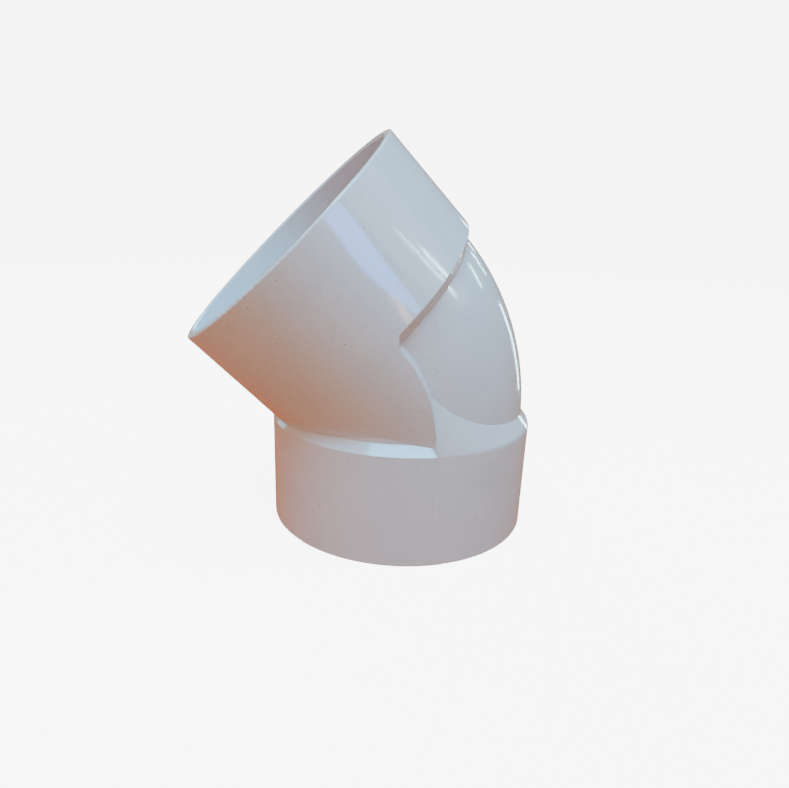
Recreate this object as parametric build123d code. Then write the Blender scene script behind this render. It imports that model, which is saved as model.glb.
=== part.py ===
from build123d import *
import math
import os

# A 45 degree elbow for 110 mm solvent-weld waste pipe, moulded in one piece in rigid PVC.
# Origin: centre of the lower socket's mouth. +Z runs up the lower socket's axis, and the
# upper socket leans towards -X. The two mould halves part along the centre line: the outer
# half draws along +X and the throat half along -X.

BEND_ANGLE = 45.0
CENTRE_TO_END = 74.8        # from the point where the two axes meet to each mouth
BEND_RADIUS = 57.4          # of the centre line

HUB_RADIUS = 59.2
SOCKET_RADIUS = 55.2        # takes a 110 mm pipe, with room for the cement
SOCKET_DEPTH = 48.0         # also the straight length of each hub
BODY_RADIUS = 55.35
WATERWAY_RADIUS = 51.7
STOP_THICKNESS = 2.0        # ledge that the pipe's end lands on
STOP_RADIUS = 56.2          # outer radius of that ledge, inside the wall

RIM_ROUND = 0.8             # outer edge of each mouth
RIM_LEAD_IN = 0.9           # chamfer that starts the pipe
UPPER_EDGE_ROUND = 0.9      # where the upper hub meets its shoulder, outer side
LOWER_EDGE_ROUND = 5.0      # the same edge on the lower hub, where it is much softer

RAMP_LEAN = 0.74            # sideways travel of the lower hub's ramp for each mm of height
RAMP_HEIGHT = 26.0
OVERRUN = 4.0               # how far each outer shoulder reaches past its hub's axis

PARTING_SHIFT = -0.4        # the parting line's distance from the centre line
LEVEL_ANGLE = 7.5           # turn around the bend at which both halves' surfaces are level
STEP_DRAFT = 10.0           # past there the throat half stands proud, by a wall with this draft
STEP_FOOT = 2.0             # the wall then curves outwards, and meets the body this far out
NOTCH_DRAFT = 20.0          # before there the ramp stands proud, by a wall with this draft
CORNER_X = -16.2            # the parting line turns upright here, just under the upper hub
BURIED = 0.3                # depth inside a solid that keeps a construction edge hidden
TOUCH = 1e-3                # closest distance that counts as apart

SHOULDER = HUB_RADIUS - BODY_RADIUS             # each shoulder is a 45 degree chamfer
CONE_HEIGHT = SHOULDER + 1.0                    # its cone, ending inside the body
LEAN = math.radians(BEND_ANGLE)
TANGENT = BEND_RADIUS * math.tan(LEAN / 2)      # from the axes' meeting point to the bend
BEND_START = CENTRE_TO_END - TANGENT            # height at which the bend begins
HUB_END = CENTRE_TO_END - SOCKET_DEPTH          # from the axes' meeting point to each hub
SIDE = HUB_RADIUS + SHOULDER                    # reaches past the part's sides
WIDE = 3 * HUB_RADIUS                           # reaches past everything

UPWARDS = (Align.CENTER, Align.CENTER, Align.MIN)
THROATWARDS = (Align.MAX, Align.CENTER, Align.MIN)
OUTWARDS = (Align.MIN, Align.CENTER, Align.MIN)
SEAM_AT_THROAT = Rot(0, 0, 180)                 # a round solid's seam, clear of the outer edges

LOWER = Plane.XY
UPPER = Plane(
    origin=(0, 0, CENTRE_TO_END),
    x_dir=(math.cos(LEAN), 0, math.sin(LEAN)),
    z_dir=(-math.sin(LEAN), 0, math.cos(LEAN)),
)
BEND_AXIS = Plane(origin=(-BEND_RADIUS, 0, BEND_START), x_dir=(1, 0, 0), z_dir=(0, -1, 0))


def bar(frame, radius, start, end):
    """A round bar on a frame's axis, from one distance along it to another."""
    return frame * Pos(0, 0, start) * SEAM_AT_THROAT * Cylinder(radius, end - start, align=UPWARDS)


def bend_sector(reach):
    """The slice of space that the bend turns through, as a wedge around the bend's axis."""
    far = (reach, reach * math.tan(LEAN))
    outline = Polyline((0, 0), (reach, 0), far, close=True)
    return extrude(BEND_AXIS * make_face(outline), HUB_RADIUS, both=True)


def centre_line_bar(radius):
    """A round bar along the centre line, from one hub's shoulder to the other's."""
    ring = BEND_AXIS * Torus(BEND_RADIUS, radius)
    bend = ring & bend_sector(WIDE)
    return bar(LOWER, radius, SOCKET_DEPTH, BEND_START) + bend + bar(UPPER, radius, TANGENT, HUB_END)


def level_point():
    """Where the two halves' surfaces are level on the parting line: X, half the width, Z."""
    turn = math.radians(LEVEL_ANGLE)
    radius = BEND_RADIUS + PARTING_SHIFT
    x, z = radius * math.cos(turn) - BEND_RADIUS, BEND_START + radius * math.sin(turn)
    off_axis = UPPER.to_local_coords(Vector(x, 0, z)).X
    return x, math.sqrt(HUB_RADIUS ** 2 - off_axis ** 2), z


def ramp_taper():
    """Loss of the ramp's radius for each mm of height that brings it to that level."""
    x, width, z = level_point()
    height = z - SOCKET_DEPTH
    return (HUB_RADIUS - math.hypot(x + RAMP_LEAN * height, width)) / height


def half_face(walls, reach):
    """The throat half's space across the parting line, from its walls on one side of the part."""
    start, end = walls[0] @ 0, walls[-1] @ 1
    back = [(end.X, 0), (-reach, 0), (-reach, -SIDE), (start.X, -SIDE)]
    rest = Polyline((end.X, end.Y), *back, (start.X, start.Y))
    near = make_face([*walls, *rest.edges()])
    return near + mirror(near, Plane.XZ)


def step_outline(reach):
    """Where the throat half stands proud: its wall curves outwards down to the body."""
    draft = math.radians(STEP_DRAFT)
    width = level_point()[1]
    top = (PARTING_SHIFT - (HUB_RADIUS - width) * math.tan(draft), -HUB_RADIUS)
    level = (PARTING_SHIFT, -width)
    foot = (STEP_FOOT, BURIED - BODY_RADIUS)
    curve = TangentArc(level, foot, tangent=(math.sin(draft), math.cos(draft)))
    return half_face([Line(top, level), curve], reach)


def notch_outline(reach):
    """Where the ramp stands proud: its wall leans towards the throat."""
    slope = math.tan(math.radians(NOTCH_DRAFT))
    width = level_point()[1]
    top = (PARTING_SHIFT + slope * (HUB_RADIUS - width), -HUB_RADIUS)
    inside = WATERWAY_RADIUS - SHOULDER
    foot = (PARTING_SHIFT - slope * (width - inside), -inside)
    return half_face([Line(top, foot)], reach)


def throat_side():
    """The space that the throat half of the mould fills, up past the upper hub's shoulder."""
    foot = Pos(0, 0, BEND_START)
    turning = Axis((-BEND_RADIUS, 0, BEND_START), (0, -1, 0))
    below = extrude(notch_outline(WIDE), BEND_START)
    notch = revolve(foot * notch_outline(BEND_RADIUS), turning, LEVEL_ANGLE)
    step = revolve(foot * step_outline(BEND_RADIUS), turning, BEND_ANGLE - LEVEL_ANGLE)
    step = step.rotate(turning, LEVEL_ANGLE)
    half_way = BEND_RADIUS / 2
    behind = Pos(-half_way, 0, BEND_START) * Box(WIDE, 2 * SIDE, half_way, align=THROATWARDS)
    corner = Pos(CORNER_X, 0, BEND_START + half_way) * extrude(step_outline(WIDE), half_way)
    return below + notch + step + behind + corner


def above_lower_hub():
    """All the space above the lower hub's straight stretch."""
    return Pos(0, 0, SOCKET_DEPTH) * Box(2 * WIDE, WIDE, 2 * WIDE, align=UPWARDS)


def throat_skin():
    """On the throat side the upper hub's own surface runs straight down to the lower hub."""
    past_the_edge = HUB_END + UPPER_EDGE_ROUND
    return bar(UPPER, HUB_RADIUS, -WIDE, past_the_edge) & throat_side() & above_lower_hub()


def lower_throat_half():
    """The throat half of the lower hub, with its crisp 45 degree shoulder."""
    cone = Cone(HUB_RADIUS, HUB_RADIUS - CONE_HEIGHT, CONE_HEIGHT, align=UPWARDS)
    whole = bar(LOWER, HUB_RADIUS, 0, SOCKET_DEPTH) + Pos(0, 0, SOCKET_DEPTH) * SEAM_AT_THROAT * cone
    return whole & throat_side()


def hub_edge(solid, frame, distance):
    """The edges of a hub's end, at a distance along its axis, on the part's outer side."""
    chosen = []
    for edge in solid.edges():
        points = [frame.to_local_coords(edge @ t) for t in (0.1, 0.5, 0.9)]
        if all(abs(point.Z - distance) < TOUCH and point.X > -OVERRUN for point in points):
            chosen.append(edge)
    return [edge for edge in chosen if edge.length > HUB_RADIUS]


def lower_outer_half():
    """The outer half of the lower hub: its shoulder is a ramp that leans along with the bend."""
    base = Pos(0, 0, SOCKET_DEPTH) * Circle(HUB_RADIUS)
    top_radius = HUB_RADIUS - ramp_taper() * RAMP_HEIGHT
    top = Pos(-RAMP_LEAN * RAMP_HEIGHT, 0, SOCKET_DEPTH + RAMP_HEIGHT) * Circle(top_radius)
    whole = bar(LOWER, HUB_RADIUS, 0, SOCKET_DEPTH) + loft([base, top], ruled=True)
    part = whole & Pos(-OVERRUN, 0, 0) * Box(WIDE, WIDE, WIDE, align=OUTWARDS)
    part = fillet(hub_edge(part, LOWER, SOCKET_DEPTH), LOWER_EDGE_ROUND)
    return part - throat_side()


def upper_outer_half():
    """The outer half of the upper hub, with its 45 degree shoulder."""
    cone = Cone(HUB_RADIUS - CONE_HEIGHT, HUB_RADIUS, CONE_HEIGHT, align=UPWARDS)
    shoulder = UPPER * Pos(0, 0, HUB_END - CONE_HEIGHT) * SEAM_AT_THROAT * cone
    whole = bar(UPPER, HUB_RADIUS, HUB_END, CENTRE_TO_END) + shoulder
    part = whole & UPPER * Pos(-OVERRUN, 0, 0) * Box(WIDE, WIDE, WIDE, align=OUTWARDS)
    return fillet(hub_edge(part, UPPER, HUB_END), UPPER_EDGE_ROUND)


def upper_throat_half():
    """The throat half of the upper hub, which has no shoulder."""
    return bar(UPPER, HUB_RADIUS, HUB_END, CENTRE_TO_END) & UPPER * Box(WIDE, WIDE, WIDE, align=THROATWARDS)


def moulding():
    """The whole moulding, with its sockets and its waterway still filled."""
    solid = centre_line_bar(BODY_RADIUS) + throat_skin()
    solid += lower_throat_half() + lower_outer_half()
    return solid + upper_throat_half() + upper_outer_half()


def mouth_rim(ring, frame, mouth, radius):
    """The circular edges of a given radius in the plane of a hub's mouth."""
    rims = ring.edges().filter_by(GeomType.CIRCLE)
    rims = [rim for rim in rims if abs(rim.radius - radius) < TOUCH]
    return [rim for rim in rims if abs(frame.to_local_coords(rim @ 0.5).Z - mouth) < TOUCH]


def hub_ring(frame, mouth, shoulder):
    """A plain ring the size of one hub, with the edges of its mouth dressed."""
    low, high = sorted((mouth, shoulder))
    ring = bar(frame, HUB_RADIUS, low, high) - bar(frame, SOCKET_RADIUS, low, high)
    ring = chamfer(mouth_rim(ring, frame, mouth, SOCKET_RADIUS), RIM_LEAD_IN)
    return fillet(mouth_rim(ring, frame, mouth, HUB_RADIUS), RIM_ROUND)


def pipe_stop(frame, start):
    """The ledge inside the moulding that a pipe's end lands on."""
    end = start + STOP_THICKNESS
    return bar(frame, STOP_RADIUS, start, end) - bar(frame, WATERWAY_RADIUS, start, end)


def bend(solid):
    """The stretch between the sockets, hollow, split along the parting line."""
    neck = solid & above_lower_hub() & bar(UPPER, WIDE, -WIDE, HUB_END)
    neck -= centre_line_bar(WATERWAY_RADIUS)
    neck -= bar(LOWER, STOP_RADIUS, SOCKET_DEPTH, SOCKET_DEPTH + STOP_THICKNESS)
    neck -= bar(UPPER, STOP_RADIUS, HUB_END - STOP_THICKNESS, HUB_END)
    side = throat_side()
    return neck - side, neck & side


def main():
    solid = moulding()
    outer_half, throat_half = bend(solid)
    nodes = {
        "lower_socket": solid & hub_ring(LOWER, 0, SOCKET_DEPTH),
        "lower_pipe_stop": pipe_stop(LOWER, SOCKET_DEPTH),
        "bend_outer_half": outer_half,
        "bend_throat_half": throat_half,
        "upper_pipe_stop": pipe_stop(UPPER, HUB_END - STOP_THICKNESS),
        "upper_socket": solid & hub_ring(UPPER, CENTRE_TO_END, HUB_END),
    }
    os.makedirs("parts", exist_ok=True)
    for name, shape in nodes.items():
        export_step(shape, f"parts/{name}.step")
        print(name, "solids", len(shape.solids()), "volume", round(shape.volume))


main()
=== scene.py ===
import math

import bmesh
import bpy
from mathutils import Matrix, Vector


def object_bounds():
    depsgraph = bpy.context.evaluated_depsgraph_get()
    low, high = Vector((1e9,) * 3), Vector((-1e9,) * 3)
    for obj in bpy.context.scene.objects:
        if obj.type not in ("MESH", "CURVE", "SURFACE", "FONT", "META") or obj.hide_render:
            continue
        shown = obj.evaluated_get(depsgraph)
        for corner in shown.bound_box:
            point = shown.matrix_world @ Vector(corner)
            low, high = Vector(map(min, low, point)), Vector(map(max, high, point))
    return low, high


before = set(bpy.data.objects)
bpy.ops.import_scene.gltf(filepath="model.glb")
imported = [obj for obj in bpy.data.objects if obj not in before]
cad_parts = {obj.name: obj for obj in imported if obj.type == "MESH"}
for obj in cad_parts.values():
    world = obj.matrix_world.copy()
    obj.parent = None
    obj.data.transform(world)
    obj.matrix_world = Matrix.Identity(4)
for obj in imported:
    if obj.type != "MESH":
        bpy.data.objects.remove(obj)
cad_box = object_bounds()

# Lengths are in metres, as Blender has them. Azimuth 0 is in front of the fitting, along -Y.

MM = 0.001
FLOOR_Z = cad_box[0].z
MIDDLE = (cad_box[0] + cad_box[1]) / 2
BEND_ANGLE = math.radians(45)
HUB_RADIUS = cad_box[1].y
PARTING_X = -0.4 * MM                   # where the mould's halves part, as in the CAD

# The camera, close to the fitting, above it and a little to its left.
CAMERA_PLACE = Vector((-71.3, -271.1, 138.7)) * MM
CAMERA_YAW = math.radians(11.53)
CAMERA_PITCH = math.radians(-18.12)
CAMERA_ROLL = math.radians(1.42)
CAMERA_LENS = 28.33                     # both in mm
CAMERA_SENSOR = 36
CAMERA_SHIFT = (0.0352, 0.0219)

# The plastic.
PALE_GREY = (0.582, 0.562, 0.603, 1)
WARM_GREY = (0.612, 0.588, 0.625, 1)
GRAIN_GREY = (0.13, 0.12, 0.14, 1)
PVC_IOR = 1.54
CLOUD = 26 * MM                         # the size of each pattern's lumps
SWELL = 16 * MM
HAZE = 9 * MM
PEEL = 1.6 * MM
MOTTLE = 0.9 * MM
DRAW_MARK = 0.8 * MM
PEEL_HEIGHT = 0.004 * MM
SWELL_HEIGHT = 0.06 * MM
MARK_HEIGHT = 0.0012 * MM
WITNESS_HEIGHT = 0.01 * MM

# The stage.
COVE = (0.95, 0.60, 0.45, 1)            # makes up for the blue of the light from above
COVE_GLOW = 7.0
DARK = (0.05, 0.05, 0.05, 1)
TABLE_GLOW = (0.50, 0.24, 0.06, 1)
WARM_GLOW = (0.72, 0.14, 0.0, 1)
WARM_PLACE = (-0.13, 0.07, FLOOR_Z)

# The lights' colours.
SKY_ABOVE = (0.12, 0.63, 1.0)
SKY_SIDE = (0.80, 0.70, 1.0)
SKY_BEHIND = (0.25, 0.75, 1.0)
WARM_ROOM = (1.0, 0.70, 0.64)
ROOM_AROUND = (0.58, 0.34, 0.12, 1)
WINDOW = (0.06, 0.28, 1.0)
STREAK = (0.50, 0.95, 1.0)
CREAM = (1.0, 0.75, 0.35)
GLEAM_DISTANCE = 1.25


# ---------------------------------------------------------------- the camera

def add_camera():
    """The photograph's viewing angle."""
    up = Vector((0, 0, 1))
    level = Vector((math.sin(CAMERA_YAW), math.cos(CAMERA_YAW), 0))
    forward = math.cos(CAMERA_PITCH) * level + math.sin(CAMERA_PITCH) * up
    right = forward.cross(up).normalized()
    right = math.cos(CAMERA_ROLL) * right + math.sin(CAMERA_ROLL) * right.cross(forward)
    data = bpy.data.cameras.new("camera")
    data.lens = CAMERA_LENS
    data.sensor_width = CAMERA_SENSOR
    data.shift_x, data.shift_y = CAMERA_SHIFT
    camera = bpy.data.objects.new("camera", data)
    axes = Matrix((right, right.cross(forward), -forward)).transposed()
    camera.matrix_world = Matrix.Translation(CAMERA_PLACE) @ axes.to_4x4()
    bpy.context.scene.collection.objects.link(camera)
    bpy.context.scene.camera = camera


# ---------------------------------------------------------------- node helpers

class Wiring:
    """Makes and joins shader nodes in one material, so that a recipe reads as a few lines."""

    def __init__(self, name):
        self.material = bpy.data.materials.new(name)
        self.material.use_nodes = True
        self.tree = self.material.node_tree
        self.shader = self.tree.nodes["Principled BSDF"]

    def node(self, kind, settings=(), **inputs):
        """A node with those settings. An input's name has _ where its socket has a space."""
        made = self.tree.nodes.new("ShaderNode" + kind)
        for key, value in dict(settings).items():
            setattr(made, key, value)
        for key, value in inputs.items():
            self.feed(made.inputs[key.replace("_", " ")], value)
        return made

    def feed(self, socket, value):
        """Link the socket to another socket, or set it to a plain value."""
        if isinstance(value, bpy.types.NodeSocket):
            self.tree.links.new(value, socket)
        else:
            socket.default_value = value

    def shade(self, **inputs):
        """Feed the shader's own sockets."""
        for key, value in inputs.items():
            self.feed(self.shader.inputs[key.replace("_", " ")], value)

    def place(self):
        """Object coordinates, so that every pattern stays with its piece."""
        return self.node("TexCoord").outputs["Object"]

    def maths(self, operation, *values):
        made = self.node("Math", {"operation": operation})
        for socket, value in zip(made.inputs, values):
            self.feed(socket, value)
        return made.outputs[0]

    def ramp(self, value, low, high, to_low=0.0, to_high=1.0):
        """A smooth change from to_low to to_high while value goes from low to high."""
        made = self.node("MapRange", {"interpolation_type": "SMOOTHSTEP"}, Value=value)
        ends = {"From Min": low, "From Max": high, "To Min": to_low, "To Max": to_high}
        for key, number in ends.items():
            made.inputs[key].default_value = number
        return made.outputs["Result"]

    def noise(self, place, size, detail=3.0, roughness=0.5):
        """Clouds whose lumps are about that size, in metres."""
        made = self.node("TexNoise", Vector=place, Scale=1 / size, Detail=detail, Roughness=roughness)
        return made.outputs["Fac"]

    def blend(self, factor, first, second):
        """The first colour where factor is 0 and the second where it is 1."""
        made = self.node("Mix", {"data_type": "RGBA"})
        colour_sockets = [socket for socket in made.inputs if socket.type == "RGBA"]
        self.feed(made.inputs["Factor"], factor)
        for socket, value in zip(colour_sockets, (first, second)):
            self.feed(socket, value)
        return next(socket for socket in made.outputs if socket.type == "RGBA")

    def darken(self, colour, factor, strength):
        """The colour turned towards the dark grains' grey by factor times strength."""
        return self.blend(self.maths("MULTIPLY", factor, strength), colour, GRAIN_GREY)


# ---------------------------------------------------------------- the plastic

def specks(wires, place, spacing, radius):
    """Round dark grains of uneven strength, one in each cell of that spacing."""
    cells = wires.node("TexVoronoi", Vector=place, Scale=1 / spacing)
    grain = wires.ramp(cells.outputs["Distance"], 0.5 * radius / spacing, radius / spacing, 1, 0)
    luck = wires.node("SeparateColor", Color=cells.outputs["Color"]).outputs[0]
    return wires.maths("MULTIPLY", grain, wires.maths("POWER", luck, 1.5))


def draw_marks(wires, place, lean):
    """Very fine lines along a hub's axis, where the moulding slid off its polished core."""
    along = wires.node("VectorRotate", {"rotation_type": "Y_AXIS"}, Vector=place, Angle=lean)
    stretched = wires.node("VectorMath", {"operation": "MULTIPLY"}, Vector=along.outputs[0])
    stretched.inputs[1].default_value = (1, 1, 0.02)
    return wires.noise(stretched.outputs[0], DRAW_MARK, 2)


def witness_line(wires, place):
    """1 on the hairline that the mould's parting leaves up the outside of the lower hub."""
    axes = wires.node("SeparateXYZ", Vector=place).outputs
    off_line = wires.maths("ABSOLUTE", wires.maths("SUBTRACT", axes["X"], PARTING_X))
    hairline = wires.ramp(off_line, 0.08 * MM, 0.3 * MM, 1, 0)
    flat = wires.node("CombineXYZ", X=axes["X"], Y=axes["Y"]).outputs[0]
    radius = wires.node("VectorMath", {"operation": "LENGTH"}, Vector=flat).outputs["Value"]
    on_outside = wires.maths("GREATER_THAN", radius, HUB_RADIUS - 0.2 * MM)
    return wires.maths("MULTIPLY", hairline, on_outside)


def pvc_colour(wires, place):
    """Light grey with faint clouds of flow, a fine mottle and two sizes of dark grain."""
    clouds = wires.noise(place, CLOUD, 4)
    colour = wires.blend(wires.ramp(clouds, 0.35, 0.65), PALE_GREY, WARM_GREY)
    mottle = wires.noise(place, MOTTLE, 2)
    colour = wires.blend(wires.ramp(mottle, 0.5, 0.85, 0, 0.12), colour, GRAIN_GREY)
    colour = wires.darken(colour, specks(wires, place, spacing=1.3 * MM, radius=0.20 * MM), 0.7)
    return wires.darken(colour, specks(wires, place, spacing=3.3 * MM, radius=0.33 * MM), 0.95)


def pvc_height(wires, place, lean):
    """A slight orange peel on a slow swell, with the draw marks."""
    height = wires.maths("MULTIPLY", wires.noise(place, PEEL, 2), PEEL_HEIGHT)
    height = wires.maths("MULTIPLY_ADD", wires.noise(place, SWELL, 1), SWELL_HEIGHT, height)
    return wires.maths("MULTIPLY_ADD", draw_marks(wires, place, lean), MARK_HEIGHT, height)


def moulded_pvc(name, lean=0.0, has_witness=False):
    """Glossy light grey rigid PVC, with draw marks that lean by that angle."""
    wires = Wiring(name)
    place = wires.place()
    colour = pvc_colour(wires, place)
    height = pvc_height(wires, place, lean)
    if has_witness:
        line = witness_line(wires, place)
        colour = wires.darken(colour, line, 0.12)
        height = wires.maths("MULTIPLY_ADD", line, WITNESS_HEIGHT, height)
    roughness = wires.ramp(wires.noise(place, HAZE, 5, 0.6), 0.3, 0.75, 0.08, 0.15)
    bump = wires.node("Bump", Height=height, Strength=1.0, Distance=1.0).outputs["Normal"]
    wires.shade(Base_Color=colour, Roughness=roughness, IOR=PVC_IOR, Normal=bump)
    return wires.material


def dress_nodes():
    """The same plastic all over. Each hub has its own draw marks, and the lower one a witness."""
    upright = moulded_pvc("moulded_pvc")
    leaning = moulded_pvc("moulded_pvc_leaning", lean=BEND_ANGLE)
    hub = moulded_pvc("moulded_pvc_lower_hub", has_witness=True)
    special = {"upper_socket": leaning, "lower_socket": hub}
    for name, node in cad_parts.items():
        node.data.materials.clear()
        node.data.materials.append(special.get(name, upright))


# ---------------------------------------------------------------- the stage

def add_round_sheet(name, profile, wires):
    """A sheet turned all the way round the fitting from a profile of (radius, height) points."""
    mesh = bmesh.new()
    line = [mesh.verts.new((radius, 0, FLOOR_Z + height)) for radius, height in profile]
    edges = [mesh.edges.new(pair) for pair in zip(line, line[1:])]
    turn = {"axis": (0, 0, 1), "cent": (0, 0, 0), "angle": math.tau, "steps": 96, "use_merge": True}
    bmesh.ops.spin(mesh, geom=line + edges, **turn)
    bmesh.ops.remove_doubles(mesh, verts=mesh.verts, dist=0.1 * MM)
    for face in mesh.faces:
        face.smooth = True
    data = bpy.data.meshes.new(name)
    mesh.to_mesh(data)
    mesh.free()
    data.materials.append(wires.material)
    sheet = bpy.data.objects.new(name, data)
    bpy.context.scene.collection.objects.link(sheet)
    return sheet


def add_backdrop():
    """A round white light cove for the camera alone: a flat floor, swept up in one curve."""
    flat, sweep, top, steps = 2.2, 0.9, 4.0, 24
    profile = [(0, 0), (flat, 0)]
    for step in range(1, steps + 1):
        angle = math.radians(90 * step / steps)
        profile.append((flat + sweep * math.sin(angle), sweep * (1 - math.cos(angle))))
    profile.append((flat + sweep, top))
    wires = Wiring("white_cove")
    wires.shade(Base_Color=COVE, Specular_IOR_Level=0.0)
    wires.shade(Emission_Color=(1, 1, 1, 1), Emission_Strength=COVE_GLOW)
    cove = add_round_sheet("backdrop", profile, wires)
    cove.visible_diffuse = False
    cove.visible_glossy = False
    cove.visible_shadow = False


def add_table():
    """A glowing table top just under the cove's floor, warmest behind the fitting on its left.

    Only the fitting sees it: it stands in for the warm surface that the fitting was lying on.
    """
    wires = Wiring("table_glow")
    away = wires.node("VectorMath", {"operation": "DISTANCE"}, Vector=wires.place())
    away.inputs[1].default_value = WARM_PLACE
    warmth = wires.ramp(away.outputs["Value"], 0.06, 0.30, 1, 0)
    wires.shade(Base_Color=DARK, Specular_IOR_Level=0.0)
    wires.shade(Emission_Color=wires.blend(warmth, TABLE_GLOW, WARM_GLOW), Emission_Strength=1.0)
    table = add_round_sheet("table", [(0, -1 * MM), (2.0, -1 * MM)], wires)
    table.visible_camera = False


# ---------------------------------------------------------------- the lights

def add_light(name, azimuth, elevation, distance, size, radiance, colour, roll=0.0):
    """A soft area light that faces the fitting, and that the camera doesn't see."""
    turn, rise = math.radians(azimuth), math.radians(elevation)
    away = Vector((math.sin(turn) * math.cos(rise), -math.cos(turn) * math.cos(rise), math.sin(rise)))
    data = bpy.data.lights.new(name, "AREA")
    data.shape = "RECTANGLE"
    data.size, data.size_y = size
    data.energy = radiance * math.pi * size[0] * size[1]
    data.color = colour
    light = bpy.data.objects.new(name, data)
    facing = (-away).to_track_quat("-Z", "Y").to_matrix() @ Matrix.Rotation(math.radians(roll), 3, "Z")
    light.matrix_world = Matrix.Translation(MIDDLE + away * distance) @ facing.to_4x4()
    light.visible_camera = False
    bpy.context.scene.collection.objects.link(light)
    return light


def add_gleam(name, azimuth, elevation, size, radiance, colour, roll=0.0, distance=GLEAM_DISTANCE):
    """A light that is seen only where the plastic mirrors it."""
    gleam = add_light(name, azimuth, elevation, distance, size, radiance, colour, roll)
    gleam.visible_diffuse = False


def add_soft_lights():
    """Cool daylight from above, the side and behind, and a warmer room in front and around."""
    add_light("overhead", 0, 72, 1.2, (1.0, 0.7), 20.5, SKY_ABOVE)
    add_light("cool_side", 62, 34, 1.3, (0.9, 0.7), 2.2, SKY_SIDE)
    add_light("front_left", -40, 32, 1.4, (1.0, 0.8), 3.3, WARM_ROOM)
    add_light("back_fill", 200, 28, 1.3, (1.0, 0.8), 5.0, SKY_BEHIND)
    world = bpy.data.worlds.new("world")
    world.use_nodes = True
    world.node_tree.nodes["Background"].inputs["Color"].default_value = ROOM_AROUND
    bpy.context.scene.world = world


def add_gleams():
    """The window's band down the upper hub, and the streaks on both hubs and the bend."""
    add_gleam("window", 29, 17, (0.30, 0.42), 22.0, WINDOW)
    add_gleam("streak_1", 61.0, 27.2, (0.17, 0.042), 32.0, STREAK, roll=-58)
    add_gleam("streak_2", 68.5, 25.8, (0.19, 0.060), 50.0, STREAK, roll=-65)
    add_gleam("streak_3", 109.5, 20.5, (0.15, 0.040), 42.0, STREAK, roll=50)
    add_gleam("streak_4", 129, 15, (0.12, 0.034), 42.0, STREAK, roll=70)
    add_gleam("lamp", 27.0, 4.5, (0.034, 0.17), 17.0, CREAM, roll=-30)
    add_gleam("corner", 140, 14, (0.10, 0.08), 14.0, STREAK, roll=50)
    add_gleam("edge", 118, -3, (0.014, 0.13), 35.0, STREAK, distance=0.33)


add_camera()
dress_nodes()
add_backdrop()
add_table()
add_soft_lights()
add_gleams()
